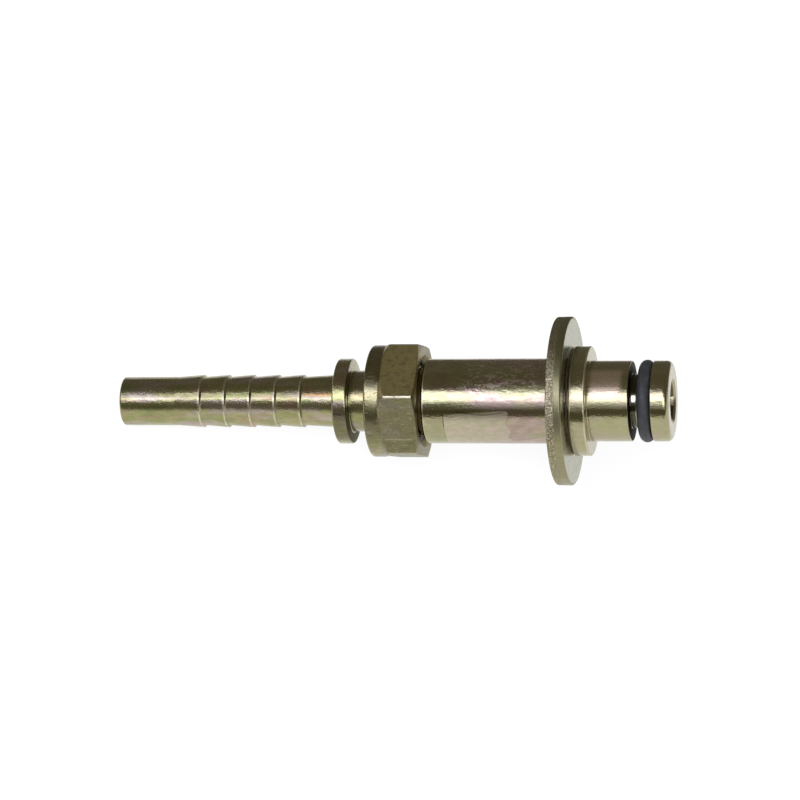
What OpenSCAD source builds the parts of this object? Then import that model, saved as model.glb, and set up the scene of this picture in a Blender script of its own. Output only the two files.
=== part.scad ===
// Crimp hose fitting: a barbed hose insert, held by a union nut to a machined tube
// that ends in a sealed spigot, with a loose thrust washer behind the spigot's stop collar.
// Every piece is turned, so each is drawn as a profile of [radius, station] points.
// Stations are counted along the axis, from the tail's tip, where the hose goes on.
// The whole lies as it comes to rest: on the tail's tip and on the washer's rim.

/* [Hose tail] */
// Diameter of the plain end that the hose starts on, and of the barbs' roots
tail_d = 8.5; // [7:0.1:10]
// Length of the plain end
tail_plain = 10; // [6:0.5:16]
// Number of barbs
barb_count = 5; // [3:1:7]
// Distance from crest to crest
barb_pitch = 4.5; // [3.5:0.1:6]
// Height of a crest above its root
barb_rise = 0.33; // [0.15:0.01:0.6]
// Length of the steep back of a barb
barb_step = 0.28; // [0.1:0.02:0.6]
// Flat land on top of a crest
barb_land = 0.35; // [0.1:0.05:0.8]
// Last cone, from the last barb to the crimp collar
tail_run = 6.3; // [3:0.1:10]
// Rounding of the tip's outer edge
tip_round = 0.35; // [0.1:0.05:0.6]

/* [Crimp collar] */
// Diameter of the collar that locks the crimped sleeve
crimp_collar_d = 14.8; // [13:0.1:17]
// Thickness of the crimp collar
crimp_collar_t = 2.5; // [1.5:0.1:4]
// Rounding of the crimp collar's edges
crimp_collar_round = 0.3; // [0.1:0.05:0.6]
// Length of neck that shows between the collar and the nut
neck_gap = 3.5; // [2:0.1:8]

/* [Union nut] */
// Width across the flats
nut_af = 19; // [18:0.5:24]
// Length of the nut
nut_length = 9.1; // [8.5:0.1:14]
// Diameter of the round skirt that is closed in behind the insert's bead
skirt_d = 19.4; // [18.6:0.1:20.4]
// Length of the skirt
skirt_length = 2.6; // [1.6:0.1:3.6]
// Rounding of the skirt's back edge
skirt_round = 0.45; // [0.2:0.05:0.8]
// Height of the chamfer that ends the six corners at the front
nut_front_chamfer = 0.42; // [0.2:0.02:1]
// Thickness of the lip round the neck
lip_t = 1; // [0.6:0.1:1.6]
// Height of the bead above the neck, behind which the lip is closed in
bead_rise = 0.79; // [0.6:0.01:1.1]
// Length of the bead at its full diameter
bead_land = 0.63; // [0.4:0.01:1]
// Width of the mouth's countersink
mouth_w = 0.95; // [0.4:0.05:1.4]

/* [Screw joint] */
// Nominal thread diameter
thread_d = 14; // [13.6:0.1:14.4]
// Thread pitch
thread_pitch = 1.5; // [1:0.25:1.5]
// Wall of the male end outside the mouth of its cone
male_wall = 0.98; // [0.8:0.02:1.3]
// Depth of the cone in the male end
cone_depth = 5.2; // [4.6:0.1:5.6]
// Length of the insert's nose in that cone
nose_in = 4; // [3.7:0.1:4.4]
// Start of the seal's groove, from the male end's face
cone_groove_at = 0.9; // [0.6:0.1:1.2]
// Width of the seal's groove
cone_groove_w = 1.6; // [1.4:0.1:1.9]
// Thickness of the seal in the cone
cone_seal_t = 1.1; // [0.8:0.05:1.3]
// Wall left between that groove and the insert's bore
cone_groove_wall = 1.07; // [0.8:0.01:1.4]

/* [Tube] */
// Diameter of the tube
tube_d = 14.7; // [14.6:0.1:16.4]
// Length from the tube's shoulder to the stop collar
tube_length = 26; // [16:0.5:60]
// Gap between the nut and the tube's shoulder
shoulder_gap = 0.5; // [0.3:0.1:1.5]
// Chamfer of the shoulder
shoulder_chamfer = 0.25; // [0.1:0.05:0.5]
// Bore through the tube
tube_bore_d = 5.8; // [4:0.1:6.6]

/* [Thrust washer] */
// Outer diameter of the washer
washer_d = 29.1; // [26:0.1:40]
// Thickness of the washer
washer_t = 2.7; // [1.5:0.1:4]
// Rounding of the washer's rim
washer_round = 0.35; // [0.1:0.05:0.7]
// Chamfer of the washer's hole
washer_hole_chamfer = 0.25; // [0.1:0.05:0.5]
// Distance at which the washer lies from the stop collar
washer_gap = 0.45; // [0.3:0.05:12]

/* [Spigot] */
// Diameter of the stop collar
stop_collar_d = 18.9; // [17.6:0.1:24]
// Thickness of the stop collar
stop_collar_t = 2.8; // [1.5:0.05:5]
// Rounding of the stop collar's edges
stop_collar_round = 0.25; // [0.1:0.05:0.6]
// Diameter of the spigot
spigot_d = 13.9; // [12.5:0.1:16]
// Length of the spigot, from the stop collar to the groove
spigot_length = 7.05; // [4:0.05:20]
// Width of the seal's groove
groove_w = 3.8; // [3:0.1:5]
// Break of the groove's outer edges
groove_break = 0.12; // [0.05:0.01:0.3]
// Thickness of the spigot's seal
ring_t = 2.4; // [1.6:0.1:2.6]
// Height of the seal above the spigot
ring_proud = 0.15; // [0.05:0.01:0.4]
// Length of the nose in front of the groove
nose_length = 3.15; // [1.6:0.05:6]
// Rounding of the nose's front edge
nose_round = 0.95; // [0.2:0.05:1.1]
// Width of the countersink round the bore
sink_w = 1.05; // [0.4:0.05:1.4]

/* [Clearances] */
// Neck to nut, and tube to washer, at the radius
running_fit = 0.1; // [0.05:0.01:0.1]
// Bead to nut, along the axis
bead_play = 0.12; // [0.05:0.01:0.2]
// Insert to cone
cone_play = 0.05; // [0.03:0.01:0.1]
// Seals to the walls of their grooves
ring_play = 0.03; // [0.02:0.01:0.05]
// Bead's front to the male end
face_play = 0.25; // [0.15:0.05:0.4]
// Crest of a thread to the bottom of the other
thread_play = 0.05; // [0.03:0.01:0.1]

/* [Hidden] */
$fn = 96;

plated_gold = "#8f8a5a";
plated_olive = "#7c7648";
plated_grey = "#a3a48c";
seal_black = "#303232";

// The seat is a 24 degree cone, and a nut's bead shoulder is at 45 degrees
cone_half_angle = 12;
cone_slope = tan(cone_half_angle);
// Depth of a metric thread in the screw and in the nut, as shares of its pitch
screw_depth = 0.6134 * thread_pitch;
nut_depth = 0.5413 * thread_pitch;

// Radii
tail_r = tail_d / 2;
crest_r = tail_r + barb_rise;
crimp_collar_r = crimp_collar_d / 2;
skirt_r = skirt_d / 2;
corner_r = nut_af / 2 / cos(30);
nut_bore_r = thread_d / 2 + thread_play;
mouth_r = nut_bore_r + mouth_w;
screw_core_r = thread_d / 2 - screw_depth;
bead_r = thread_d / 2 - nut_depth - running_fit;
neck_r = bead_r - bead_rise;
lip_r = neck_r + running_fit;
cone_mouth_r = screw_core_r - male_wall;
cone_end_r = cone_mouth_r - cone_depth * cone_slope;
tube_r = tube_d / 2;
tube_bore_r = tube_bore_d / 2;
washer_r = washer_d / 2;
washer_hole_r = tube_r + running_fit;
stop_collar_r = stop_collar_d / 2;
spigot_r = spigot_d / 2;
groove_r = spigot_r + ring_proud - ring_t - ring_play;

// Stations along the axis
barbs_end = tail_plain + barb_count * barb_pitch;
crimp_collar_back = barbs_end + tail_run;
crimp_collar_front = crimp_collar_back + crimp_collar_t;
nut_back = crimp_collar_front + neck_gap;
nut_front = nut_back + nut_length;
hex_back = nut_back + skirt_length;
bead_back = nut_back + lip_t + bead_play;
bead_front = bead_back + bead_rise + bead_land;
male_end = bead_front + face_play;
shoulder = nut_front + shoulder_gap;
stop_collar_back = shoulder + tube_length;
stop_collar_front = stop_collar_back + stop_collar_t;
groove_back = stop_collar_front + spigot_length;
groove_front = groove_back + groove_w;
nose_front = groove_front + nose_length;
washer_front = stop_collar_back - washer_gap;
washer_back = washer_front - washer_t;

// The seal in the cone nearly touches it, its groove lies under it, and the bore under that
cone_seal_at = male_end + cone_groove_at + cone_groove_w / 2;
cone_seal_r = cone_r(cone_seal_at) - (cone_seal_t / 2 + ring_play) / cos(cone_half_angle);
cone_groove_r = cone_seal_r - cone_seal_t / 2 - ring_play;
insert_bore_r = cone_groove_r - cone_groove_wall;

// How the fitting lies: the tail's tip touches the floor, and it leans on what reaches lowest.
// Each edge that can touch is [station, radius, rounding].
tip_edge = [0, tail_r, tip_round];
low_edges = [
    [crimp_collar_back, crimp_collar_r, crimp_collar_round],
    [nut_back, skirt_r, skirt_round],
    [hex_back, nut_af / 2, 0],
    [washer_back, washer_r, washer_round]
];
lean = max([for (edge = low_edges) lean_on(edge)]);
lift = (tail_r - tip_round) * cos(lean) - tip_round * sin(lean) + tip_round;
reach_back = (tail_r - tip_round) * sin(lean) - tip_round * cos(lean) + tip_round;
reach_front = (nose_front - nose_round) * cos(lean) + (spigot_r - nose_round) * sin(lean) + nose_round;

// Angle at which an edge just touches the floor that the tip lies on
function lean_on(edge) =
    let (
        run = edge[0] + edge[2] - tip_edge[2],
        drop = (edge[1] - edge[2]) - (tip_edge[1] - tip_edge[2]),
        rounding = edge[2] - tip_edge[2]
    )
    atan2(drop, run) + asin(rounding / norm([run, drop]));

// Radius of the male end's cone at a station
function cone_r(station) = cone_mouth_r - (station - male_end) * cone_slope;

// Radius of the insert's nose there, with its play
function nose_r(station) = cone_r(station) - cone_play / cos(cone_half_angle);

// Quarter circle from one angle to another, in the plane of radius and station
function rounded(radius, station, rounding, from, to, steps = 8) =
    [for (i = [0:steps])
        let (angle = from + (to - from) * i / steps)
        [radius + rounding * cos(angle), station + rounding * sin(angle)]];

// Outer edges of a disc that the profile runs along, from its back to its front
function disc_edges(radius, back, front, rounding) = concat(
    rounded(radius - rounding, back + rounding, rounding, -90, 0),
    rounded(radius - rounding, front - rounding, rounding, 0, 90)
);

// One barb: the cone's top, its land and its steep back
function barb(crest) = [
    [crest_r, crest - barb_land],
    [crest_r, crest],
    [tail_r, crest + barb_step]
];

// Turns a profile round the fitting's axis, in the lying position
module turned(profile) {
    lying() rotate_extrude() polygon(profile);
}

// Carries what is drawn up the Z axis to the lying fitting, centred over the origin
module lying() {
    translate([(reach_back - reach_front) / 2, 0, lift])
        rotate([0, 90 - lean, 0])
            children();
}

// Barbed tail, crimp collar, neck, and the nose with its bead, turned from one bar
module hose_insert() {
    tip_bevel = min(0.4, (tail_r - tip_round - insert_bore_r) / 2);
    nose_bevel = min(0.4, (nose_r(male_end + nose_in) - insert_bore_r) / 2);
    nose_end = male_end + nose_in;
    groove_start = male_end + cone_groove_at;
    groove_end = groove_start + cone_groove_w;
    outside = concat(
        [[insert_bore_r + tip_bevel, 0]],
        rounded(tail_r - tip_round, tip_round, tip_round, -90, 0),
        [[tail_r, tail_plain]],
        [for (i = [1:barb_count]) each barb(tail_plain + i * barb_pitch)],
        [[crest_r, crimp_collar_back]],
        disc_edges(crimp_collar_r, crimp_collar_back, crimp_collar_front, crimp_collar_round),
        [
            [neck_r, crimp_collar_front],
            [neck_r, bead_back],
            [bead_r, bead_back + bead_rise],
            [bead_r, bead_front],
            [nose_r(bead_front), bead_front],
            [nose_r(groove_start), groove_start],
            [cone_groove_r, groove_start],
            [cone_groove_r, groove_end],
            [nose_r(groove_end), groove_end],
            [nose_r(nose_end - nose_bevel), nose_end - nose_bevel],
            [nose_r(nose_end) - nose_bevel / 2, nose_end]
        ]
    );
    inside = [
        [insert_bore_r + nose_bevel / 2, nose_end],
        [insert_bore_r, nose_end - nose_bevel / 2],
        [insert_bore_r, tip_bevel]
    ];
    color(plated_olive) turned(concat(outside, inside));
}

// Hexagon nut with a round skirt, whose lip is closed in behind the insert's bead
module union_nut() {
    cut = 1;
    corner_rise = corner_r - skirt_r;
    envelope = concat(
        [[0, nut_back]],
        rounded(skirt_r - skirt_round, nut_back + skirt_round, skirt_round, -90, 0),
        [
            [skirt_r, hex_back],
            [corner_r + cut, hex_back + corner_rise + cut],
            [corner_r + cut, nut_front - nut_front_chamfer * (1 + cut / (corner_r - nut_af / 2))],
            [nut_af / 2, nut_front],
            [0, nut_front]
        ]
    );
    lip_bevel = 0.2;
    cavity = [
        [0, nut_back - cut],
        [lip_r + lip_bevel + cut, nut_back - cut],
        [lip_r, nut_back + lip_bevel],
        [lip_r, nut_back + lip_t],
        [nut_bore_r, nut_back + lip_t + nut_bore_r - lip_r],
        [nut_bore_r, nut_front - mouth_w],
        [mouth_r + cut, nut_front + cut],
        [0, nut_front + cut]
    ];
    color(plated_olive) lying() difference() {
        intersection() {
            union() {
                translate([0, 0, nut_back]) cylinder(r = skirt_r, h = skirt_length);
                translate([0, 0, hex_back]) rotate([0, 0, 30])
                    cylinder(r = corner_r, h = nut_front - hex_back, $fn = 6);
            }
            rotate_extrude() polygon(envelope);
        }
        rotate_extrude() polygon(cavity);
    }
}

// Ring that seals the insert's nose in the cone
module cone_seal() {
    color(seal_black) lying() translate([0, 0, cone_seal_at]) rotate_extrude()
        translate([cone_seal_r, 0]) circle(d = cone_seal_t);
}

// Male end with its cone, tube, stop collar, grooved spigot and nose, turned from one bar
module spigot_tube() {
    end_bevel = 0.5;
    undercut = 0.15;
    undercut_w = 1.3;
    outside = concat(
        [
            [cone_mouth_r, male_end],
            [screw_core_r - end_bevel, male_end],
            [screw_core_r, male_end + end_bevel],
            [screw_core_r, shoulder - undercut_w],
            [screw_core_r - undercut, shoulder - undercut_w + undercut],
            [screw_core_r - undercut, shoulder],
            [tube_r - shoulder_chamfer, shoulder],
            [tube_r, shoulder + shoulder_chamfer],
            [tube_r, stop_collar_back]
        ],
        disc_edges(stop_collar_r, stop_collar_back, stop_collar_front, stop_collar_round),
        [
            [spigot_r, stop_collar_front],
            [spigot_r, groove_back - groove_break],
            [spigot_r - groove_break, groove_back],
            [groove_r, groove_back],
            [groove_r, groove_front],
            [spigot_r - groove_break, groove_front],
            [spigot_r, groove_front + groove_break]
        ],
        rounded(spigot_r - nose_round, nose_front - nose_round, nose_round, 0, 90)
    );
    pocket_end = male_end + cone_depth + 0.6;
    inside = [
        [tube_bore_r + sink_w, nose_front],
        [tube_bore_r, nose_front - sink_w],
        [tube_bore_r, pocket_end],
        [cone_end_r, pocket_end],
        [cone_end_r, male_end + cone_depth]
    ];
    color(plated_gold) turned(concat(outside, inside));
}

// Loose stamped washer, free to slide on the tube between the stop collar and the nut
module thrust_washer() {
    hole = [
        [washer_hole_r, washer_front - washer_hole_chamfer],
        [washer_hole_r, washer_back + washer_hole_chamfer],
        [washer_hole_r + washer_hole_chamfer, washer_back]
    ];
    rim = disc_edges(washer_r, washer_back, washer_front, washer_round);
    front = [[washer_hole_r + washer_hole_chamfer, washer_front]];
    color(plated_grey) turned(concat(hole, rim, front));
}

// Ring that seals the spigot, pushed against the nose's side of its groove
module spigot_seal() {
    seal_at = groove_front - ring_play - ring_t / 2;
    color(seal_black) lying() translate([0, 0, seal_at]) rotate_extrude()
        translate([groove_r + ring_play + ring_t / 2, 0]) circle(d = ring_t);
}

hose_insert();
union_nut();
cone_seal();
spigot_tube();
thrust_washer();
spigot_seal();
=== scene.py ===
import math

import bmesh
import bpy
from mathutils import Matrix, Vector, noise


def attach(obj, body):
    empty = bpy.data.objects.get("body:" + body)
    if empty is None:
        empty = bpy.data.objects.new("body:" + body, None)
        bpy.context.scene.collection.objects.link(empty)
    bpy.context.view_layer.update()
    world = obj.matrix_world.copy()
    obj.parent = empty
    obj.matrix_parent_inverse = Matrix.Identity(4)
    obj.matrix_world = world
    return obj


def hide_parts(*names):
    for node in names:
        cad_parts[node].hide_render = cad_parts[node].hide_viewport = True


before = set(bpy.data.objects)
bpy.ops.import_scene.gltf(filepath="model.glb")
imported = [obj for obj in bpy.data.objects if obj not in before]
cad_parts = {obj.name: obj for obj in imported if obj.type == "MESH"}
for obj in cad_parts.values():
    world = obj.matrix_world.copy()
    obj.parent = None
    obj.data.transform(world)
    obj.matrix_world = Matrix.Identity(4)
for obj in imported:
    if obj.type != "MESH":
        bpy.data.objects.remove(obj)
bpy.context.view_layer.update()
scene = bpy.context.scene

# The fitting's axis, in millimetres and degrees: stations count along it from the tail's tip
LEAN = 7.59464
LIFT = 4.16953
SHIFT = -48.3151
AXIS = Vector((math.cos(math.radians(LEAN)), 0, math.sin(math.radians(LEAN))))
UP = Vector((-math.sin(math.radians(LEAN)), 0, math.cos(math.radians(LEAN))))
NEAR = Vector((0, -1, 0))
ORIGIN = Vector((SHIFT, 0, LIFT))
MM = 0.001

# Radii and stations of the hose insert, in millimetres
TAIL_R, CREST_R, NECK_R, INSERT_BORE_R = 4.25, 4.58, 5.298, 2.496
TAIL_PLAIN, BARB_PITCH, BARB_COUNT = 10, 4.5, 5
BARB_LAND, BARB_STEP = 0.35, 0.28
COLLAR_BACK, COLLAR_FRONT, COLLAR_R = 38.8, 41.3, 7.4
BEAD_BACK, BEAD_FULL, BEAD_FRONT, BEAD_R = 45.92, 46.71, 47.34, 6.088
CONE_R, CONE_END = 5.05, 51.59
RING_SEAT_BACK, RING_SEAT_FRONT, RING_SEAT_R = 48.49, 50.09, 3.566
SEAT_BACK_R, SEAT_FRONT_R, NOSE_R, NOSE_TIP_R = 4.85, 4.51, 4.27, 3.99
TAIL_MOUTH_R, NOSE_MOUTH_R = 2.9, 2.7

# The union nut
NUT_BACK, HEX_BACK, NUT_FRONT = 44.8, 47.4, 53.9
SKIRT_R, SKIRT_ROUND, SKIRT_STEP = 9.7, 0.45, 0.01
HALF_FLATS, CORNER_BLEND = 9.5, 0.26
CHAMFER_SLOPE, FACE_R = 3.5, 9.38
THREAD_BORE_R, LIP_R, LIP_MOUTH_R, LIP_FRONT = 7.05, 5.398, 5.6, 45.77
MOUTH_R, MOUTH_END = 8.0, 52.9

# The spigot tube
MALE_END, SHOULDER = 47.59, 54.4
MALE_R, RELIEF_R, CONE_MOUTH_R, POCKET_R, POCKET_END = 6.08, 5.93, 5.1, 3.99, 53.39
TUBE_R, TUBE_BORE_R, SPIGOT_R = 7.35, 2.9, 6.95
STOP_BACK, STOP_FRONT, STOP_R = 80.4, 83.2, 9.45
GROOVE_BACK, GROOVE_FRONT, GROOVE_R = 90.25, 94.05, 4.67
NOSE_FRONT, NOSE_ROUND, SINK_R = 97.2, 0.95, 3.95

# The thrust washer, the seals and the screw's pitch
WASHER_BACK, WASHER_FRONT, WASHER_R, WASHER_HOLE_R = 77.25, 79.95, 14.54, 7.45
SEAL_R, SEAL_STATION, SEAL_THICK = 5.9, 92.82, 2.4
CONE_SEAL_R, CONE_SEAL_STATION, CONE_SEAL_THICK = 4.1456, 49.29, 1.1
PITCH = 1.5


def at(radius, station, angle):
    """A point in metres. The angle is in degrees from the top, towards the camera's side."""
    turn = math.radians(angle)
    side = UP * math.cos(turn) + NEAR * math.sin(turn)
    return (ORIGIN + AXIS * station + side * radius) * MM


# Shapes
ROOM_SHARE = 0.42
SPARE = 0.06
STEP_DEGREES = 14


def rounded_corner(here, back, on, rounding):
    """Points round one corner of a profile: a short straight, the arc, and a short straight."""
    room = ROOM_SHARE * min(back.length, on.length)
    back.normalize()
    on.normalize()
    half = back.angle(on) / 2
    if half > math.radians(88):
        return [tuple(here)]
    reach = min(rounding / math.tan(half), room)
    radius = reach * math.tan(half)
    centre = here + (back + on).normalized() * (radius / math.sin(half))
    first, last = here + back * reach, here + on * reach
    spare = min(SPARE, room * 0.25)
    steps = max(2, round(math.degrees(math.pi - 2 * half) / STEP_DEGREES))
    start = first - centre
    sweep = start.angle_signed(last - centre)
    points = [tuple(first + back * spare)]
    for k in range(steps + 1):
        c, s = math.cos(-sweep * k / steps), math.sin(-sweep * k / steps)
        points.append(tuple(centre + Vector((start.x * c - start.y * s, start.x * s + start.y * c))))
    points.append(tuple(last + on * spare))
    return points


def filleted(corners):
    """Closed profile of (radius, station) points from corners of (radius, station, rounding)."""
    points = []
    for i, (radius, station, rounding) in enumerate(corners):
        here = Vector((radius, station))
        back = Vector(corners[i - 1][:2]) - here
        on = Vector(corners[(i + 1) % len(corners)][:2]) - here
        points += rounded_corner(here, back, on, rounding)
    return points


def face_outwards(mesh, sharp=None):
    """Turns the faces outwards and, where an angle is given, marks the edges that are sharper."""
    bm = bmesh.new()
    bm.from_mesh(mesh)
    bmesh.ops.recalc_face_normals(bm, faces=bm.faces)
    if sharp is not None:
        for edge in bm.edges:
            edge.smooth = len(edge.link_faces) == 2 and edge.calc_face_angle(0) < math.radians(sharp)
    bm.to_mesh(mesh)
    bm.free()


def mesh_object(name, verts, faces, body, material, smooth=True):
    mesh = bpy.data.meshes.new(name)
    mesh.from_pydata([tuple(v) for v in verts], [], faces)
    mesh.update()
    if smooth:
        mesh.shade_smooth()
    obj = bpy.data.objects.new(name, mesh)
    scene.collection.objects.link(obj)
    mesh.materials.append(material)
    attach(obj, body)
    return obj


def turned(name, rows, body, material, angles, sharp=30):
    """Turns rows of (radius or radius function, station) round the axis, as a closed surface."""
    count = len(angles)
    verts, faces = [], []
    for radius, station in rows:
        for angle in angles:
            verts.append(at(radius(angle) if callable(radius) else radius, station, angle))
    for i in range(len(rows)):
        j = (i + 1) % len(rows)
        for k in range(count):
            m = (k + 1) % count
            faces.append((i * count + k, i * count + m, j * count + m, j * count + k))
    obj = mesh_object(name, verts, faces, body, material)
    obj.data.validate()
    face_outwards(obj.data, sharp)
    return obj


def even_angles(count):
    return [i * 360 / count for i in range(count)]


def soft_min(a, b, k):
    """The lower of two values, with a soft change from one to the other."""
    h = max(k - abs(a - b), 0) / k
    return min(a, b) - h * h * k / 4


# Materials
class Mat:
    """A node material in the fitting's own coordinates: station, near and up, in millimetres."""

    def __init__(self, name):
        self.mat = bpy.data.materials.new(name)
        self.mat.use_nodes = True
        self.nt = self.mat.node_tree
        self.nt.nodes.clear()
        out = self.new("ShaderNodeOutputMaterial")
        self.bsdf = self.new("ShaderNodeBsdfPrincipled")
        self.link(self.bsdf.outputs[0], out.inputs[0])
        place = self.new("ShaderNodeVectorMath")
        place.operation = "SUBTRACT"
        self.link(self.new("ShaderNodeTexCoord").outputs["Object"], place.inputs[0])
        place.inputs[1].default_value = tuple(ORIGIN * MM)
        self.station = self.along(place.outputs[0], AXIS)
        self.near = self.along(place.outputs[0], NEAR)
        self.up = self.along(place.outputs[0], UP)
        self.turn = self.math("ARCTAN2", self.near, self.up)
        squares = self.math("ADD", self.product(self.near, self.near), self.product(self.up, self.up))
        self.radius = self.math("SQRT", squares)

    def new(self, kind):
        return self.nt.nodes.new(kind)

    def link(self, a, b):
        self.nt.links.new(a, b)

    def put(self, socket, value):
        """Links a socket, or sets the socket's own value."""
        if isinstance(value, bpy.types.NodeSocket):
            self.link(value, socket)
        elif isinstance(value, (tuple, list)) and len(socket.default_value) == 4 and len(value) == 3:
            socket.default_value = (*value, 1)
        else:
            socket.default_value = value

    def along(self, place, direction):
        """How far a place in metres lies along a direction, in millimetres."""
        n = self.new("ShaderNodeVectorMath")
        n.operation = "DOT_PRODUCT"
        self.link(place, n.inputs[0])
        n.inputs[1].default_value = tuple(direction)
        return self.product(n.outputs["Value"], 1 / MM)

    def math(self, op, *values):
        n = self.new("ShaderNodeMath")
        n.operation = op
        for socket, value in zip(n.inputs, values):
            self.put(socket, value)
        return n.outputs[0]

    def product(self, first, *others):
        for other in others:
            first = self.math("MULTIPLY", first, other)
        return first

    def add(self, value, mask, amount):
        """Adds the amount where the mask is 1."""
        return self.math("ADD", value, self.product(mask, amount))

    def off(self, value, middle):
        """How far a value is from its middle."""
        return self.math("ABSOLUTE", self.math("SUBTRACT", value, middle))

    def noise(self, along, across, shift, detail=3.0, rough=0.55, distortion=0.0):
        """Noise of its own scale along the axis and across it, taken from its own place."""
        spot = self.new("ShaderNodeCombineXYZ")
        self.link(self.math("MULTIPLY_ADD", self.station, along, shift), spot.inputs[0])
        self.link(self.product(self.near, across), spot.inputs[1])
        self.link(self.product(self.up, across), spot.inputs[2])
        n = self.new("ShaderNodeTexNoise")
        n.inputs["Scale"].default_value = 1
        n.inputs["Detail"].default_value = detail
        n.inputs["Roughness"].default_value = rough
        n.inputs["Distortion"].default_value = distortion
        self.link(spot.outputs[0], n.inputs["Vector"])
        return n.outputs["Fac"]

    def ramp(self, value, low, high, a=0.0, b=1.0):
        """From a at the low value to b at the high one, with soft ends."""
        n = self.new("ShaderNodeMapRange")
        n.interpolation_type = "SMOOTHSTEP"
        self.put(n.inputs["Value"], value)
        n.inputs["From Min"].default_value = low
        n.inputs["From Max"].default_value = high
        n.inputs["To Min"].default_value = a
        n.inputs["To Max"].default_value = b
        return n.outputs["Result"]

    def band(self, value, low, high, edge):
        """1 between low and high, with soft edges."""
        up = self.ramp(value, low - edge, low + edge)
        down = self.ramp(value, high - edge, high + edge, 1, 0)
        return self.product(up, down)

    def mix(self, fac, a, b):
        n = self.new("ShaderNodeMix")
        n.data_type = "RGBA"
        self.put(n.inputs[0], fac)
        self.put(n.inputs[6], a)
        self.put(n.inputs[7], b)
        return n.outputs[2]

    def tint(self, color, mask, share, other):
        """Mixes in a share of another colour where the mask is 1."""
        return self.mix(self.product(mask, share), color, other)

    def scale(self, color, factor):
        n = self.new("ShaderNodeVectorMath")
        n.operation = "SCALE"
        self.put(n.inputs[0], color)
        self.put(n.inputs["Scale"], factor)
        return n.outputs[0]

    def shade(self, color, mask, factor, elsewhere=1.0):
        """Multiplies the colour by the factor where the mask is 1, and by the other where it is 0."""
        return self.scale(color, self.ramp(mask, 0, 1, elsewhere, factor))

    def bump(self, height, strength, distance, normal=None):
        n = self.new("ShaderNodeBump")
        n.inputs["Strength"].default_value = strength
        n.inputs["Distance"].default_value = distance
        self.put(n.inputs["Height"], height)
        if normal is not None:
            self.link(normal, n.inputs["Normal"])
        return n.outputs[0]

    def finish(self, color, roughness, normal, metallic=1.0):
        sockets = self.bsdf.inputs
        self.put(sockets["Base Color"], color)
        self.put(sockets["Roughness"], roughness)
        sockets["Metallic"].default_value = metallic
        self.link(normal, sockets["Normal"])
        return self.mat


# Tints of the plating, in the order gold, green, brown and pink
INSERT_TINTS = ((0.35, 0.325, 0.165), (0.29, 0.30, 0.13), (0.37, 0.28, 0.175), (0.40, 0.34, 0.26))
NUT_TINTS = ((0.19, 0.17, 0.09), (0.175, 0.17, 0.083), (0.195, 0.162, 0.094), (0.195, 0.177, 0.112))
TUBE_TINTS = ((0.37, 0.34, 0.205), (0.335, 0.335, 0.18), (0.36, 0.295, 0.195), (0.385, 0.30, 0.245))
WASHER_TINTS = ((0.28, 0.28, 0.155), (0.26, 0.27, 0.145), (0.28, 0.255, 0.145), (0.30, 0.29, 0.195))

# Colours of wear and stains, and of painted light and shade
CREST_WORN = (0.62, 0.57, 0.44)
TAIL_ORANGE = (0.36, 0.20, 0.08)
TOP_FLAT_BROWN = (0.345, 0.285, 0.120)
TOP_FLAT_BLOTCH = (0.22, 0.165, 0.085)
PAINTED_SKIRT_HIGHLIGHT = (0.42, 0.38, 0.20)
PIT_BRIGHT = (0.54, 0.48, 0.28)
MARK_DARK = (0.13, 0.11, 0.06)
MARK_BRIGHT = (0.50, 0.45, 0.27)
CORNER_WORN_AND_HIGHLIGHT = (0.80, 0.74, 0.56)
SCRATCH_BRIGHT = (0.56, 0.53, 0.36)
MOUTH_BROWN = (0.62, 0.50, 0.27)
SPIGOT_TINT = (0.37, 0.36, 0.19)
PLUM_PAINTED_LIGHT = (0.80, 0.64, 0.50)
SMUDGE = (0.62, 0.54, 0.44)
RUBBED_YELLOW, RUBBED_PINK = (0.43, 0.405, 0.275), (0.53, 0.445, 0.35)
SHOULDER_BROWN = (0.25, 0.19, 0.09)
EDGE_WORN_AND_HIGHLIGHT = (0.70, 0.65, 0.45)
STOP_BACK_PAINTED_LIGHT = (0.85, 0.80, 0.62)
GROOVE_PAINTED_SHADE, GROOVE_PAINTED_HIGHLIGHT, GROOVE_PAINTED_LIGHT = (0.075, 0.07, 0.045), (0.85, 0.82, 0.7), (0.42, 0.40, 0.27)
WALL_PAINTED_SHADE, WALL_PAINTED_LIGHT = (0.02, 0.019, 0.014), (0.20, 0.19, 0.13)
GLINT = (0.92, 0.90, 0.74)
BORE_PAINTED_SHADE = (0.05, 0.045, 0.02)
RIM_STAIN = (0.29, 0.26, 0.14)
HUB_PAINTED_LIGHT, HUB_LINE = (0.80, 0.73, 0.48), (0.16, 0.14, 0.08)
GRIT_DARK, GRIT_BRIGHT = (0.17, 0.14, 0.07), (0.72, 0.66, 0.48)
RUBBER_DARK, RUBBER_DUSTY = (0.024, 0.027, 0.028), (0.042, 0.046, 0.048)

# Turns are in radians from the top, towards the camera's side
NEAR_CORNER = 0.524
GROOVE_LIGHT_TURN = -0.984
GLINT_TURN = -2.555

# The radius just outside the insert's neck, and where the rubbed patch starts, in millimetres
NECK_EDGE = 5.6
PATCH_BACK = 58.35


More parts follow.
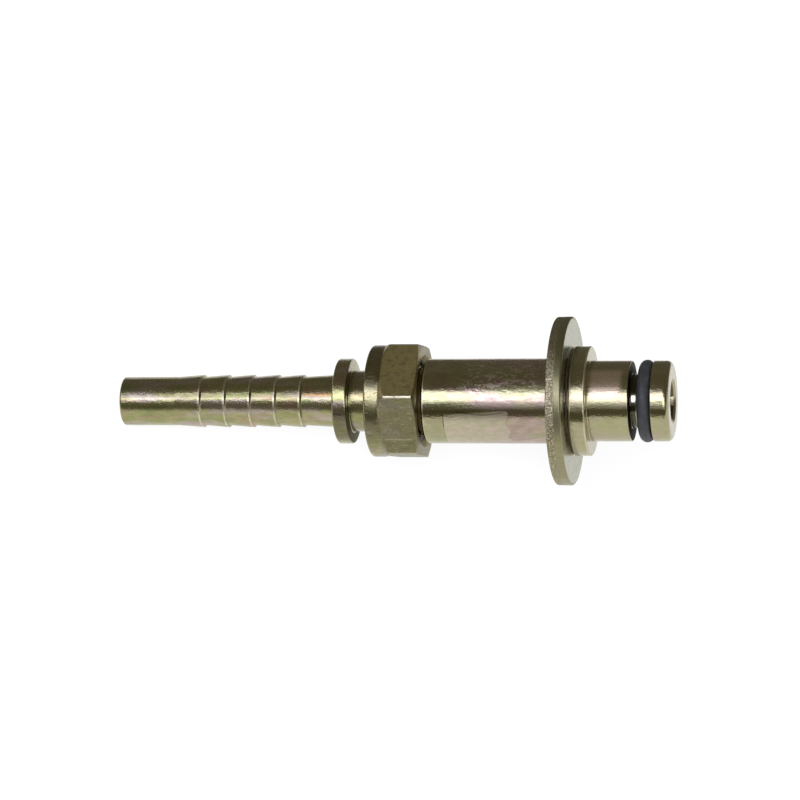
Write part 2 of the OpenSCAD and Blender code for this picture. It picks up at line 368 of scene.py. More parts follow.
def plated(name, tints, base_rough, seed, along=0.13, across=0.22, blush=None, mottle=1.0):
    """Turned steel under thin yellow plating: soft patches of tint, streaks, specks and tool marks.

    The blush, where there is one, makes the pink grow along the axis.
    """
    m = Mat(name)
    gold, green, brown, pink = tints
    first = m.noise(along, across, seed, 3, 0.6)
    second = m.noise(along * 1.6, across * 1.5, seed + 13, 3, 0.55)
    third = m.noise(along * 0.8, across * 1.3, seed + 29, 2, 0.5)
    if blush is not None:
        third = m.math("ADD", third, m.ramp(m.station, *blush))
    color = m.mix(m.ramp(first, 0.43, 0.60), gold, green)
    color = m.mix(m.ramp(second, 0.50, 0.68), color, brown)
    color = m.mix(m.ramp(third, 0.47, 0.64), color, pink)
    streaks = m.noise(0.5, 1.3, seed + 41, 4, 0.6)
    color = m.scale(color, m.ramp(streaks, 0.30, 0.70, 0.88, 1.10))
    specks = m.noise(2.6, 2.6, seed + 57, 3, 0.7)
    color = m.scale(color, m.ramp(specks, 0.60, 0.76, 1.0, 0.80))
    polish = m.ramp(streaks, 0.3, 0.7, base_rough + 0.03, base_rough - 0.03)
    rough = m.math("ADD", polish, m.ramp(specks, 0.55, 0.75, 0, 0.12))
    tool_marks = m.noise(9.0, 0.12, seed + 3, 2, 0.7)
    dents = m.noise(1.1, 2.2, seed + 71, 3, 0.6)
    normal = m.bump(tool_marks, 0.22, 0.01 * MM)
    normal = m.bump(dents, 0.55 * mottle, 0.05 * MM, normal)
    return m, color, rough, normal


def insert_plating():
    m, color, rough, normal = plated(
        "insert_plating", INSERT_TINTS, base_rough=0.235, seed=11.0, across=0.36)

    # Worn lines on the barbs' crests
    phase = m.math("FRACT", m.math("DIVIDE", m.math("SUBTRACT", m.station, TAIL_PLAIN), BARB_PITCH))
    barbs_end = TAIL_PLAIN + BARB_COUNT * BARB_PITCH + 0.5
    crest = m.product(
        m.ramp(m.radius, CREST_R - 0.045, CREST_R - 0.015),
        m.ramp(m.station, barbs_end, barbs_end + 0.1, 1, 0),
        m.ramp(phase, 0.925, 0.94),
        m.ramp(m.noise(0.8, 1.2, 8.0, 3, 0.6), 0.35, 0.6, 0.40, 0.9))
    color = m.mix(crest, color, CREST_WORN)
    rough = m.add(rough, crest, 0.10)

    # Painted shade low on the collar, on the neck between the collar and the nut, and low on the collar's
    # front face, which is rougher too
    low_collar = m.product(
        m.ramp(m.radius, COLLAR_R - 0.2, COLLAR_R - 0.1), m.band(m.turn, 0.85, 1.75, 0.22))
    color = m.shade(color, low_collar, 0.50)
    neck = m.product(
        m.band(m.station, COLLAR_FRONT - 0.05, BEAD_BACK - 0.42, 0.1),
        m.ramp(m.radius, NECK_EDGE, NECK_EDGE + 0.1, 1, 0))
    color = m.shade(color, neck, 0.85)
    face = m.product(
        m.ramp(m.station, COLLAR_FRONT - 0.1, COLLAR_FRONT - 0.04),
        m.band(m.radius, NECK_EDGE, COLLAR_R - 0.1, 0.1), m.ramp(m.turn, 0.7, 1.2))
    color = m.shade(color, face, 0.55)
    rough = m.add(rough, face, 0.35)

    # Painted shade along the tail's upper near side above the highlight, lighter painted shade over the
    # highlight itself, and an orange band just above the highlight next to the collar
    tail = m.ramp(m.station, COLLAR_BACK - 0.2, COLLAR_BACK - 0.1, 1, 0)
    color = m.shade(color, m.product(tail, m.band(m.turn, 0.30, 0.455, 0.035)), 0.56)
    color = m.shade(color, m.product(tail, m.band(m.turn, 0.455, 0.62, 0.03)), 0.88)
    orange = m.product(
        m.band(m.turn, 0.29, 0.385, 0.03), m.band(m.station, barbs_end + 0.2, COLLAR_BACK - 0.2, 0.6))
    color = m.tint(color, orange, 0.8, TAIL_ORANGE)
    return m.finish(color, rough, normal)


def nut_plating():
    m, color, rough, normal = plated(
        "nut_plating", NUT_TINTS, base_rough=0.38, seed=51.0, along=0.3, across=0.3, mottle=0.7)

    # The flat on top is browner than the others, with blotches
    hexagon = m.ramp(m.station, HEX_BACK + 0.1, HEX_BACK + 0.3)
    top = m.product(hexagon, m.band(m.turn, -0.52, 0.515, 0.01))
    color = m.tint(color, top, 0.85, TOP_FLAT_BROWN)
    rough = m.add(rough, top, 0.08)
    blotch = m.ramp(m.noise(0.9, 1.3, 133.0, 4, 0.65), 0.50, 0.62, 0, 0.65)
    color = m.tint(color, top, blotch, TOP_FLAT_BLOTCH)

    # The skirt is smoother. Round it there is a pale painted highlight, painted shade on its lower near
    # side and painted light lower down; the colour elsewhere is lifted a little.
    skirt = m.math("SUBTRACT", 1.0, hexagon)
    rough = m.add(rough, skirt, -0.10)
    color = m.shade(color, m.product(skirt, m.band(m.turn, 0.75, 1.35, 0.25)), 0.95, elsewhere=1.2)
    color = m.tint(color, m.product(skirt, m.band(m.turn, 0.38, 0.80, 0.10)), 0.45, PAINTED_SKIRT_HIGHLIGHT)
    color = m.shade(color, m.product(skirt, m.ramp(m.turn, 1.3, 1.7)), 1.35)

    # Bright pits, fewer on the skirt, and dark and bright marks from the spanner
    pits = m.product(m.noise(2.6, 3.2, 5.0, 3, 0.75), m.ramp(hexagon, 0, 1, 0.86, 1.0))
    color = m.mix(m.ramp(pits, 0.62, 0.72, 0, 0.8), color, PIT_BRIGHT)
    marks = m.noise(0.8, 4.5, 17.0, 2, 0.6, 0.6)
    color = m.mix(m.ramp(marks, 0.62, 0.68, 0, 0.6), color, MARK_DARK)
    color = m.mix(m.ramp(marks, 0.36, 0.31, 0, 0.6), color, MARK_BRIGHT)

    # Worn corners, with a painted highlight along the nearest one, and one long scratch
    worn_and_highlight = m.product(
        m.ramp(m.off(m.turn, NEAR_CORNER), 0.1, 0.2, 1, 0.3), m.ramp(m.radius, 10.80, 10.88),
        m.ramp(m.noise(1.1, 1, 23.0, 3, 0.7), 0.30, 0.45, 0.35, 1))
    color = m.mix(worn_and_highlight, color, CORNER_WORN_AND_HIGHLIGHT)
    scratch = m.product(m.band(m.turn, 1.322, 1.330, 0.004), m.band(m.station, 48.4, 53.0, 0.5))
    color = m.tint(color, scratch, m.ramp(pits, 0.35, 0.55, 0.35, 1), SCRATCH_BRIGHT)

    # Painted shade on the thread inside, and the brown countersink at the mouth
    inside = m.product(
        m.ramp(m.radius, THREAD_BORE_R + 0.07, THREAD_BORE_R + 0.25, 1, 0),
        m.ramp(m.station, HEX_BACK + 0.1, HEX_BACK + 1.6))
    color = m.shade(color, inside, 0.30)
    mouth = m.product(
        m.band(m.radius, THREAD_BORE_R + 0.20, MOUTH_R - 0.05, 0.06),
        m.ramp(m.station, MOUTH_END, MOUTH_END + 0.1))
    color = m.tint(color, mouth, 0.8, MOUTH_BROWN)
    rough = m.add(rough, mouth, 0.15)

    pit_depth = m.product(m.ramp(pits, 0.62, 0.75), -1)
    height = m.add(pit_depth, m.ramp(marks, 0.62, 0.72), -0.6)
    return m.finish(color, rough, m.bump(height, 0.6, 0.03 * MM, normal))


def spigot_stains_and_light(m, color, rough, smears):
    """The spigot's own tint, a plum-tinted painted light on top of it, and smudges on top of the tube."""
    spigot = m.ramp(m.station, STOP_BACK - 0.1, STOP_BACK + 0.1)
    color = m.tint(color, spigot, 0.6, SPIGOT_TINT)
    # Painted light, plum-tinted, on top of the spigot, which is rougher there too
    painted_top_light = m.product(m.band(m.station, STOP_FRONT + 0.2, 89.0, 0.6), m.band(m.turn, -0.25, 0.42, 0.12))
    color = m.tint(color, painted_top_light, 0.8, PLUM_PAINTED_LIGHT)
    rough = m.add(rough, painted_top_light, 0.10)
    smudge = m.product(
        m.band(m.station, 62.0, 75.0, 2.0), m.band(m.turn, -0.6, 0.30, 0.15),
        m.ramp(smears, 0.50, 0.60))
    color = m.tint(color, smudge, 0.6, SMUDGE)
    rough = m.add(rough, smudge, 0.10)
    rough = m.math("ADD", rough, m.ramp(m.station, 58, 68, -0.02, 0.06))
    return color, m.add(rough, spigot, -0.035)


def rubbed_patch_and_shade(m, color, rough, smears):
    """A rubbed patch with a sharp edge low on the near side, polished round it and hazy above it, under a
    band of painted shade.
    """
    ragged = m.add(m.station, m.noise(0.5, 0.5, 77.0, 3, 0.6), 3.0)
    lower = m.math("ADD", m.turn, m.ramp(m.station, 58, 69, 0, 0.07))
    patch = m.product(
        m.ramp(m.station, PATCH_BACK, PATCH_BACK + 0.15), m.ramp(ragged, 70.8, 71.05, 1, 0),
        m.band(lower, 0.90, 1.92, 0.02))
    # A band of painted shade along the tube just above the patch
    painted_shade_band = m.product(
        m.band(lower, 0.80, 0.89, 0.03), m.ramp(m.station, SHOULDER + 0.2, SHOULDER + 0.8),
        m.ramp(m.station, STOP_BACK - 0.2, STOP_BACK, 1, 0.4))
    color = m.shade(color, painted_shade_band, 0.82)
    haze = m.product(m.band(m.turn, 0.60, 0.80, 0.05), m.ramp(m.station, 58, 66, 0.5, 1))
    rough = m.add(rough, haze, 0.09)
    polished = m.product(m.band(m.turn, 0.80, 1.12, 0.05), m.math("SUBTRACT", 1.0, patch))
    rough = m.math("MAXIMUM", m.add(rough, polished, -0.09), 0.07)
    rubbed = m.mix(m.ramp(smears, 0.40, 0.60), RUBBED_YELLOW, RUBBED_PINK)
    color = m.tint(color, patch, 0.75, rubbed)
    rough = m.add(rough, patch, 0.10)

    # A cut along the patch's back, and a wavy line of painted shade along its top, where the reflected
    # horizon's edge falls
    back_cut = m.product(
        m.band(m.station, PATCH_BACK - 0.15, PATCH_BACK, 0.07), m.band(m.turn, 0.93, 1.28, 0.10))
    wave = m.math("SINE", m.product(m.math("SUBTRACT", m.station, 62), 0.5))
    painted_top_line = m.product(
        m.band(m.add(m.turn, wave, -0.05), 0.862, 0.882, 0.01), m.band(m.station, 60.5, 69.0, 0.4))
    return m.shade(color, m.math("MAXIMUM", back_cut, painted_top_line), 0.35), rough


def worn_edges_and_painted_light(m, color, rough):
    """A brown shoulder, a painted highlight along its edge, bright edges of wear on the stop collar, and
    painted light on the collar's back by the washer.
    """
    outside = m.ramp(m.radius, 7.0, 7.1)
    shoulder = m.product(m.band(m.station, SHOULDER - 0.1, SHOULDER + 0.16, 0.03), outside)
    color = m.tint(color, shoulder, 0.7, SHOULDER_BROWN)
    # The shoulder's edge carries a painted highlight; the stop collar's edges are real wear
    shoulder_edge = m.product(m.band(m.station, SHOULDER + 0.18, SHOULDER + 0.45, 0.04), outside)
    collar_ends = m.math(
        "MAXIMUM", m.band(m.station, STOP_BACK - 0.1, STOP_BACK + 0.35, 0.05),
        m.band(m.station, STOP_FRONT - 0.3, STOP_FRONT + 0.1, 0.05))
    collar_edges = m.product(m.ramp(m.radius, STOP_R - 0.15, STOP_R - 0.02), collar_ends)
    worn_and_highlight = m.math("MAXIMUM", shoulder_edge, collar_edges)
    color = m.tint(color, worn_and_highlight, 0.6, EDGE_WORN_AND_HIGHLIGHT)
    rough = m.add(rough, worn_and_highlight, 0.2)
    # Painted light on the stop collar's back, which the washer's face reflects
    back_face = m.product(
        m.band(m.station, STOP_BACK - 0.1, STOP_BACK + 0.06, 0.02), m.ramp(m.radius, 7.5, 7.6),
        m.ramp(m.radius, 9.15, 9.3, 0.9, 0))
    return m.mix(back_face, color, STOP_BACK_PAINTED_LIGHT), rough


def seal_groove(m, color, rough):
    """Painted shade in the seal groove: a dark floor with a painted highlight spot and a paler painted
    strip of light, and dark walls, lighter towards one side.
    """
    groove = m.product(
        m.band(m.station, GROOVE_BACK - 0.02, GROOVE_FRONT + 0.02, 0.01),
        m.ramp(m.radius, SPIGOT_R - 0.23, SPIGOT_R - 0.11, 1, 0))
    # A painted highlight spot on the groove's floor
    bright = m.product(
        m.band(m.turn, 0.40, 0.62, 0.05), m.band(m.station, GROOVE_BACK + 0.4, GROOVE_BACK + 1.0, 0.08))
    # A paler painted strip of light on the floor's lower side
    strip = m.product(
        m.band(m.turn, 0.80, 2.0, 0.08), m.ramp(m.station, GROOVE_BACK + 1.0, GROOVE_BACK + 1.1))
    floor_color = m.mix(strip, m.mix(bright, GROOVE_PAINTED_SHADE, GROOVE_PAINTED_HIGHLIGHT), GROOVE_PAINTED_LIGHT)
    color = m.mix(groove, color, floor_color)
    # The walls' painted shade, lighter towards one side
    wall = m.product(groove, m.ramp(m.radius, GROOVE_R + 0.03, GROOVE_R + 0.18))
    height = m.product(m.radius, m.math("COSINE", m.math("SUBTRACT", m.turn, GROOVE_LIGHT_TURN)))
    wall_color = m.mix(m.ramp(height, 5.0, 5.8), WALL_PAINTED_SHADE, WALL_PAINTED_LIGHT)
    return m.mix(wall, color, wall_color), m.add(rough, wall, 0.55)


def nose_bore(m, color):
    """Painted shade in the bore and on the countersink's inner part, with a painted glint on its far side.
    """
    sink = m.product(m.ramp(m.radius, SINK_R - 0.1, SINK_R, 1, 0), m.ramp(m.station, 90, 91))
    inner = m.product(sink, m.ramp(m.radius, 3.45, 3.65, 1, 0))
    glint_side = m.math("GREATER_THAN", m.math("COSINE", m.math("SUBTRACT", m.turn, GLINT_TURN)), 0.975)
    glint = m.product(inner, glint_side, m.ramp(m.radius, 3.0, 3.1))
    color = m.shade(color, inner, 0.24)
    color = m.mix(glint, color, GLINT)
    bore = m.product(
        m.ramp(m.radius, TUBE_BORE_R + 0.05, TUBE_BORE_R + 0.15, 1, 0), m.ramp(m.station, 60, 61))
    return m.mix(bore, color, BORE_PAINTED_SHADE)


def tube_plating():
    m, color, rough, normal = plated(
        "tube_plating", TUBE_TINTS, base_rough=0.165, seed=31.0, blush=(57, 66, -0.09, 0.10))
    smears = m.noise(0.7, 1.6, 91.0, 3, 0.6, 0.8)
    color, rough = spigot_stains_and_light(m, color, rough, smears)
    color, rough = rubbed_patch_and_shade(m, color, rough, smears)
    color, rough = worn_edges_and_painted_light(m, color, rough)
    color, rough = seal_groove(m, color, rough)
    color = nose_bore(m, color)
    return m.finish(color, rough, normal)


def washer_plating():
    m, color, rough, normal = plated(
        "washer_plating", WASHER_TINTS, base_rough=0.24, seed=71.0, along=0.12, across=0.18, mottle=0.5)
    rim = m.ramp(m.radius, WASHER_R - 0.54, WASHER_R - 0.24)
    color = m.tint(color, rim, 0.6, RIM_STAIN)
    # Painted shade on the rim round the highlight; the whole rim is rougher
    color = m.shade(color, m.product(rim, m.band(m.turn, 0.20, 0.85, 0.15)), 0.74)
    rough = m.add(rough, rim, 0.14)

    # Painted light on the ring of the face under the stop collar, where the collar shades it, with a dark
    # line in it; the ring is rougher too
    hub = m.product(
        m.ramp(m.radius, STOP_R - 0.25, STOP_R, 1, 0),
        m.ramp(m.station, WASHER_FRONT - 0.25, WASHER_FRONT - 0.15))
    line = m.band(m.radius, 8.75, 9.05, 0.08)
    color = m.tint(color, hub, 0.9, m.mix(line, HUB_PAINTED_LIGHT, HUB_LINE))
    rough = m.add(rough, hub, 0.30)

    # The rear part of the rim, torn and gritty where the disc was sheared, its grit coloured most strongly
    # round the highlight as painted sparkle
    tear = m.add(m.station, m.noise(0.4, 0.8, 5.0, 2), 0.5)
    torn = m.product(rim, m.ramp(tear, 78.85, 79.0, 1, 0))
    grit = m.noise(3.4, 4.2, 19.0, 3, 0.75)
    gritty = m.mix(m.ramp(grit, 0.46, 0.62), GRIT_DARK, GRIT_BRIGHT)
    color = m.tint(color, torn, m.ramp(m.off(m.turn, 0.6), 0.3, 1.0, 0.75, 0.35), gritty)
    rough = m.add(rough, torn, 0.10)
    normal = m.bump(m.product(torn, grit), 0.8, 0.08 * MM, normal)
    return m.finish(color, rough, normal)


def rubber(name):
    m = Mat(name)
    grain = m.noise(5, 5, 3.0, 4, 0.6)
    dust = m.noise(0.8, 0.8, 9.0, 3, 0.6)
    color = m.mix(m.ramp(dust, 0.4, 0.75), RUBBER_DARK, RUBBER_DUSTY)
    normal = m.bump(grain, 0.3, 0.03 * MM)
    return m.finish(color, m.ramp(grain, 0.3, 0.7, 0.46, 0.64), normal, metallic=0.0)


insert_mat = insert_plating()
nut_mat = nut_plating()
tube_mat = tube_plating()
washer_mat = washer_plating()
seal_mat = rubber("seal_rubber")


# Hose insert
def insert_rows():
    corners = [(TAIL_MOUTH_R, 0, 0.05), (TAIL_R, 0, 0.35), (TAIL_R, TAIL_PLAIN, 0.3)]
    for i in range(1, BARB_COUNT + 1):
        crest = TAIL_PLAIN + BARB_PITCH * i
        corners += [
            (CREST_R, crest - BARB_LAND, 0.15), (CREST_R, crest, 0.05),
            (TAIL_R, crest + BARB_STEP, 0.08),
        ]
    corners += [
        (CREST_R, COLLAR_BACK, 0.12), (COLLAR_R, COLLAR_BACK, 0.3),
        (COLLAR_R, COLLAR_FRONT, 0.3), (NECK_R, COLLAR_FRONT, 0.15),
        (NECK_R, BEAD_BACK, 0.1), (BEAD_R, BEAD_FULL, 0.08), (BEAD_R, BEAD_FRONT, 0.08),
        (CONE_R, BEAD_FRONT, 0.1), (SEAT_BACK_R, RING_SEAT_BACK, 0.04),
        (RING_SEAT_R, RING_SEAT_BACK, 0.04), (RING_SEAT_R, RING_SEAT_FRONT, 0.04),
        (SEAT_FRONT_R, RING_SEAT_FRONT, 0.04), (NOSE_R, CONE_END - 0.4, 0.06), (NOSE_TIP_R, CONE_END, 0.06),
        (NOSE_MOUTH_R, CONE_END, 0.05), (INSERT_BORE_R, CONE_END - 0.2, 0.05), (INSERT_BORE_R, 0.4, 0.05),
    ]
    return filleted(corners)


insert = turned("hose_insert_body", insert_rows(), "insert", insert_mat, even_angles(240))
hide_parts("hose_insert")


# Union nut
def hex_radius(angle):
    off = (angle % 60 + 30) % 60 - 30
    near = HALF_FLATS / math.cos(math.radians(off))
    far = HALF_FLATS / math.cos(math.radians(60 - abs(off)))
    return soft_min(near, far, CORNER_BLEND)


def nut_outer(station):
    """The hexagon's outline at a station: it grows out of the skirt, and is chamfered at the front."""
    def radius(angle):
        full = hex_radius(angle)
        under_skirt = max(0, min(1, (HEX_BACK - 0.08 - station) / 0.3))
        grown = full + max(0, SKIRT_R - full) * under_skirt
        r = soft_min(grown, SKIRT_R - SKIRT_STEP + max(0, station - HEX_BACK), 0.10)
        return soft_min(r, HALF_FLATS + (NUT_FRONT - station) * CHAMFER_SLOPE, 0.08)
    return radius


def nut_rows():
    """The lip's back, the round skirt, the hexagon, the mouth, and the bore back to the lip."""
    rows = [(LIP_MOUTH_R, NUT_BACK), (SKIRT_R - SKIRT_ROUND - 0.05, NUT_BACK)]
    for k in range(9):
        turn = math.radians(-90 + 90 * k / 8)
        rows.append((
            SKIRT_R - SKIRT_ROUND * (1 - math.cos(turn)), NUT_BACK + SKIRT_ROUND * (1 + math.sin(turn))))
    rows += [(SKIRT_R, NUT_BACK + 0.55), (SKIRT_R, HEX_BACK - 0.8), (SKIRT_R - SKIRT_STEP, HEX_BACK - 0.5)]
    stations = [HEX_BACK - 0.42 + 0.08 * k for k in range(1, 27)]
    stations += [49.3, 50, 51, 52, 52.8, 53.1, 53.25]
    stations += [NUT_FRONT - 0.6 + 0.6 * k / 12 for k in range(13)]
    rows += [(nut_outer(station), station) for station in stations]
    rows += [
        (FACE_R, NUT_FRONT), (MOUTH_R + 0.06, NUT_FRONT), (MOUTH_R, NUT_FRONT - 0.02),
        (MOUTH_R - 0.04, NUT_FRONT - 0.08), (THREAD_BORE_R + 0.04, MOUTH_END + 0.07),
        (THREAD_BORE_R, MOUTH_END), (THREAD_BORE_R, MOUTH_END - 0.1),
        (THREAD_BORE_R, HEX_BACK + 0.1), (THREAD_BORE_R - 0.02, HEX_BACK + 0.04),
        (LIP_R + 0.032, LIP_FRONT + 0.06), (LIP_R, LIP_FRONT),
        (LIP_R, NUT_BACK + 0.25), (LIP_R + 0.022, NUT_BACK + 0.15),
    ]
    return rows


def hex_angles():
    """Angles round the hexagon, close together at its corners."""
    one_side = (0.25, 0.5, 0.8, 1.1, 1.4, 1.8, 2.6, 4, 6, 9, 12, 15, 18, 21, 24, 27)
    offsets = [-30] + [-off for off in reversed(one_side)] + [0] + list(one_side)
    return [corner + off for corner in range(30, 390, 60) for off in offsets]


nut = turned("union_nut_body", nut_rows(), "nut", nut_mat, hex_angles(), sharp=50)
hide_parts("union_nut")


# Threads
STEPS_A_TURN = 72
FADE_STEPS = 20


def ridge(name, body, material, first, last, root, crest, root_w, crest_w, phase):
    """A right-handed ridge that fades at both ends."""
    steps = round((last - first) / PITCH * STEPS_A_TURN)
    verts, faces = [], []
    for i in range(steps + 1):
        station = first + (last - first) * i / steps
        angle = phase + 360 * station / PITCH
        fade = min(1, i / FADE_STEPS, (steps - i) / FADE_STEPS)
        top_r = root + (crest - root) * fade
        top_w = crest_w + (root_w - crest_w) * (1 - fade)
        for r, w in ((root, root_w), (top_r, top_w), (top_r, -top_w), (root, -root_w)):
            verts.append(at(r, station + w / 2, angle))
        if i:
            n = 4 * i
            faces += [(n - 4 + k, n + k, n + k + 1, n - 3 + k) for k in range(3)]
            faces.append((n - 1, n + 3, n, n - 4))
    faces += [(3, 2, 1, 0), tuple(4 * steps + k for k in range(4))]
    obj = mesh_object(name, verts, faces, body, material, smooth=False)
    face_outwards(obj.data)
    return obj


male_thread = ridge(
    "male_thread", "tube", tube_mat, first=48.2, last=53.0, root=6.03, crest=6.95, root_w=1.2, crest_w=0.16,
    phase=0)
female_thread = ridge(
    "female_thread", "nut", nut_mat, first=47.95, last=52.6, root=7.1, crest=6.22, root_w=1.26, crest_w=0.3,
    phase=180)


# Tube and spigot
def tube_rows():
    """The male end, the tube, the stop collar, the spigot with its groove, the nose, and the bore."""
    return filleted([
        (CONE_MOUTH_R, MALE_END, 0.06), (5.58, MALE_END, 0.1), (MALE_R, MALE_END + 0.5, 0.1),
        (MALE_R, 53.1, 0.1), (RELIEF_R, 53.25, 0.05), (RELIEF_R, SHOULDER, 0.05),
        (TUBE_R - 0.25, SHOULDER, 0.05), (TUBE_R, SHOULDER + 0.25, 0.08), (TUBE_R, STOP_BACK, 0.12),
        (STOP_R, STOP_BACK, 0.25), (STOP_R, STOP_FRONT, 0.25), (SPIGOT_R, STOP_FRONT, 0.15),
        (SPIGOT_R, GROOVE_BACK, 0.12), (GROOVE_R, GROOVE_BACK, 0.2), (GROOVE_R, GROOVE_FRONT, 0.2),
        (SPIGOT_R, GROOVE_FRONT, 0.12), (SPIGOT_R, NOSE_FRONT, NOSE_ROUND), (SINK_R, NOSE_FRONT, 0.1),
        (TUBE_BORE_R, NOSE_FRONT - 1.05, 0.1), (TUBE_BORE_R, POCKET_END, 0.05),
        (POCKET_R, POCKET_END, 0.05), (POCKET_R, POCKET_END - 0.6, 0.05),
    ])


tube = turned("spigot_tube_body", tube_rows(), "tube", tube_mat, even_angles(240))
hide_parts("spigot_tube")


# Thrust washer
TEAR_R, TEAR_BACK, TEAR_FRONT = 14.5, 77.35, 78.75
TEAR_LEAST, TEAR_MORE = 0.015, 0.045
GRAIN = 3.1


def torn_rim(full, station):
    """The rim's radius at a station where it is full otherwise: the rear part is a little torn."""
    def radius(angle):
        turn = math.radians(angle)
        place = (station * GRAIN, TEAR_R * math.cos(turn) * GRAIN, TEAR_R * math.sin(turn) * GRAIN)
        torn = max(0, min(1, 0.5 + 0.5 * noise.fractal(Vector(place), 0.6, 2.1, 3)))
        front_end = min(1, max(0, (TEAR_FRONT - station) / 0.12))
        back_end = min(1, max(0, (station - TEAR_BACK) / 0.15))
        return full - front_end * back_end * (TEAR_LEAST + TEAR_MORE * torn)
    return radius


def washer_rows():
    profile = filleted([
        (WASHER_HOLE_R, WASHER_FRONT, 0.2), (WASHER_HOLE_R, WASHER_BACK, 0.2),
        (WASHER_R, WASHER_BACK, 0.35), (WASHER_R, WASHER_FRONT, 0.3),
    ])
    rows = []
    for i, (r, station) in enumerate(profile):
        rows.append((r, station))
        next_r, next_station = profile[(i + 1) % len(profile)]
        if min(r, next_r) > TEAR_R and abs(next_station - station) > 1:
            rows += [(WASHER_R, station + (next_station - station) * k / 24) for k in range(1, 24)]
    return [(torn_rim(r, station) if r > TEAR_R else r, station) for r, station in rows]


washer = turned("thrust_washer_body", washer_rows(), "washer", washer_mat, even_angles(720))
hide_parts("thrust_washer")


# Seals
def ring(name, centre_r, station, thick, body, node):
    rows = []
    for k in range(32):
        turn = math.radians(360 * k / 32)
        rows.append((centre_r + thick / 2 * math.cos(turn), station + thick / 2 * math.sin(turn)))
    obj = turned(name, rows, body, seal_mat, even_angles(180))
    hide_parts(node)
    return obj


ring("spigot_seal_ring", SEAL_R, SEAL_STATION, SEAL_THICK, "tube", "spigot_seal")
ring("cone_seal_ring", CONE_SEAL_R, CONE_SEAL_STATION, CONE_SEAL_THICK, "insert", "cone_seal")


# Floor and dark cards
FLOOR_SIDE = 6
FLOOR_GLOW = 1.12
GLOW_SHARE = 0.82
CARD_COLOR = (1, 0.90, 0.64, 1)
CARD_LIGHT = 0.125


def floor_material():
    """Pale grey, which glows white for the camera and in reflections, and keeps the shadow."""
    mat = bpy.data.materials.new("studio_floor")
    mat.use_nodes = True
    nt = mat.node_tree
    nt.nodes.clear()

    def combine(op, a, b):
        n = nt.nodes.new("ShaderNodeMath")
        n.operation = op
        nt.links.new(a, n.inputs[0])
        if isinstance(b, float):
            n.inputs[1].default_value = b
        else:
            nt.links.new(b, n.inputs[1])
        return n.outputs[0]

    out = nt.nodes.new("ShaderNodeOutputMaterial")
    diffuse = nt.nodes.new("ShaderNodeBsdfDiffuse")
    diffuse.inputs["Color"].default_value = (0.8, 0.8, 0.8, 1)
    glow = nt.nodes.new("ShaderNodeEmission")
    glow.inputs["Strength"].default_value = FLOOR_GLOW
    path = nt.nodes.new("ShaderNodeLightPath").outputs
    seen = combine("MAXIMUM", path["Is Camera Ray"], path["Is Glossy Ray"])
    seen = combine("MAXIMUM", seen, path["Is Transmission Ray"])
    mix = nt.nodes.new("ShaderNodeMixShader")
    nt.links.new(combine("MULTIPLY", seen, GLOW_SHARE), mix.inputs[0])
    nt.links.new(diffuse.outputs[0], mix.inputs[1])
    nt.links.new(glow.outputs[0], mix.inputs[2])
    nt.links.new(mix.outputs[0], out.inputs[0])
    return mat


def card_material():
    """Dull grey, a little warm, for the metal to reflect."""
    mat = bpy.data.materials.new("dark_card")
    mat.use_nodes = True
    shader = mat.node_tree.nodes["Principled BSDF"].inputs
    shader["Base Color"].default_value = (0.02, 0.02, 0.02, 1)
    shader["Roughness"].default_value = 1
    shader["Emission Color"].default_value = CARD_COLOR
    shader["Emission Strength"].default_value = CARD_LIGHT
    return mat


def sheet(name, near_edge, far_edge, half_width, material):
    """A four-cornered sheet between two edges, each given as (y, z)."""
    corners = [
        (-half_width, *near_edge), (half_width, *near_edge),
        (half_width, *far_edge), (-half_width, *far_edge),
    ]
    mesh = bpy.data.meshes.new(name)
    mesh.from_pydata(corners, [], [(0, 1, 2, 3)])
    mesh.materials.append(material)
    obj = bpy.data.objects.new(name, mesh)
    scene.collection.objects.link(obj)
    return obj


sheet("floor", (-FLOOR_SIDE, 0), (FLOOR_SIDE, 0), FLOOR_SIDE, floor_material())
card_mat = card_material()
card = sheet("dark_card_behind", (0.095, 0.0), (0.12, 0.12), 0.35, card_mat)
ground = sheet("dark_ground_behind", (0.032, 0.0004), (0.095, 0.0004), 0.35, card_mat)
for dark in (card, ground):
    dark.visible_camera = False
    dark.visible_diffuse = False
    dark.visible_shadow = False


# World and lamps
HORIZON = 0.145
SKY_START = 0.20
SKY_COLOR = (0.145, 0.13, 0.092, 1)
KEY_SIZE = (1.6, 0.375)
KEY_LEVEL = 3.9
KEY_COLOR = (0.93, 0.95, 1.16)


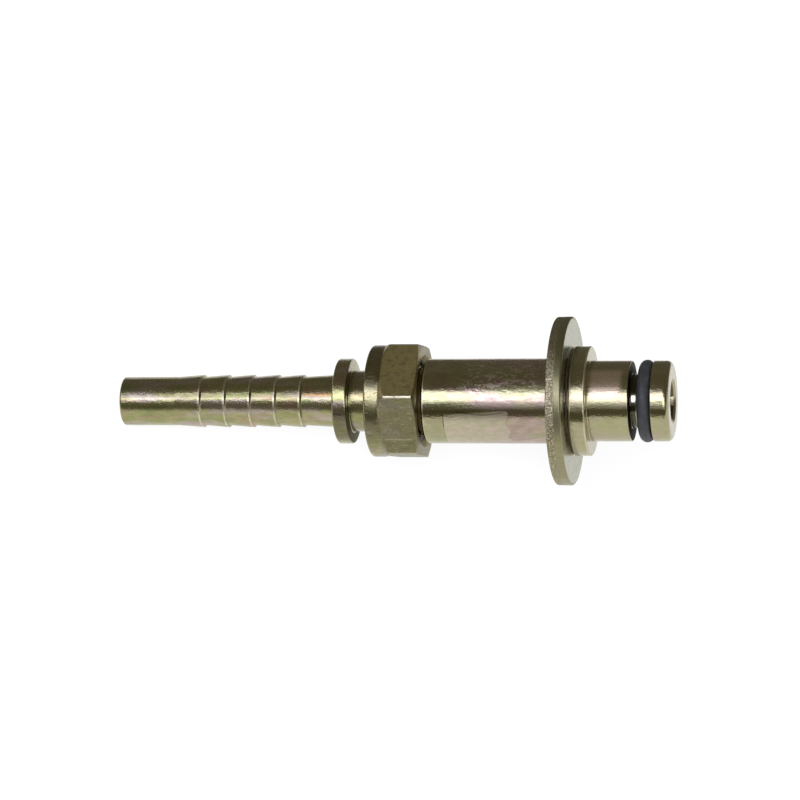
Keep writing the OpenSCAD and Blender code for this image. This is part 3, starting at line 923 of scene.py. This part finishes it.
def make_world():
    """White up to just above the horizon, and a dim warm grey over it."""
    world = bpy.data.worlds.new("studio")
    scene.world = world
    world.use_nodes = True
    nt = world.node_tree
    nt.nodes.clear()
    out = nt.nodes.new("ShaderNodeOutputWorld")
    background = nt.nodes.new("ShaderNodeBackground")
    split = nt.nodes.new("ShaderNodeSeparateXYZ")
    ramp = nt.nodes.new("ShaderNodeValToRGB")
    nt.links.new(nt.nodes.new("ShaderNodeTexCoord").outputs["Generated"], split.inputs[0])
    nt.links.new(split.outputs[2], ramp.inputs[0])
    low, high = ramp.color_ramp.elements
    low.position, low.color = HORIZON, (1, 1, 1, 1)
    high.position, high.color = SKY_START, SKY_COLOR
    nt.links.new(ramp.outputs[0], background.inputs[0])
    nt.links.new(background.outputs[0], out.inputs[0])


def sky(elevation, distance, x):
    """A place at that elevation, counted from the near horizon over the top to the far side."""
    turn = math.radians(elevation)
    return (x, -math.cos(turn) * distance, math.sin(turn) * distance)


def area(name, place, size, power, color=(1, 1, 1), glossy=True):
    """A rectangular lamp that faces the fitting."""
    light = bpy.data.lights.new(name, "AREA")
    light.shape = "RECTANGLE"
    light.size, light.size_y = size
    light.energy = power
    light.color = color
    obj = bpy.data.objects.new(name, light)
    obj.location = place
    obj.rotation_euler = (Vector(place) - Vector((0, 0, 0.01))).to_track_quat("Z", "Y").to_euler()
    scene.collection.objects.link(obj)
    obj.visible_camera = False
    obj.visible_glossy = glossy


make_world()
key_power = KEY_LEVEL * math.pi * KEY_SIZE[0] * KEY_SIZE[1]
area("key", sky(65.3, 0.85, -0.15), KEY_SIZE, key_power, KEY_COLOR)
area("fill", sky(100, 1.0, 0.1), (1.2, 1.2), 4.5, glossy=False)


# Camera
FRAME_PX = 800
FOCAL_PX = 3831
SENSOR = 36
RAISE_PX = 1.0
DISTANCE = 0.666
AIM_STATION = 49.43
ELEVATION = math.radians(56.4)
SWING = math.radians(11.56)


def make_camera():
    """Looks at the axis from above its near side, swung a little towards the spigot."""
    camera = bpy.data.cameras.new("camera")
    camera.lens = FOCAL_PX / FRAME_PX * SENSOR
    camera.sensor_width = SENSOR
    camera.shift_y = RAISE_PX / FRAME_PX
    camera.clip_start = 0.01
    obj = bpy.data.objects.new("camera", camera)
    facing = NEAR * math.cos(ELEVATION) + UP * math.sin(ELEVATION)
    toward = facing * math.cos(SWING) + AXIS * math.sin(SWING)
    right = (AXIS - toward * AXIS.dot(toward)).normalized()
    place = (ORIGIN + AXIS * AIM_STATION) * MM + toward * DISTANCE
    turn = Matrix((right, toward.cross(right), toward)).transposed()
    obj.matrix_world = Matrix.Translation(place) @ turn.to_4x4()
    scene.collection.objects.link(obj)
    scene.camera = obj


make_camera()
scene.view_settings.view_transform = "Standard"
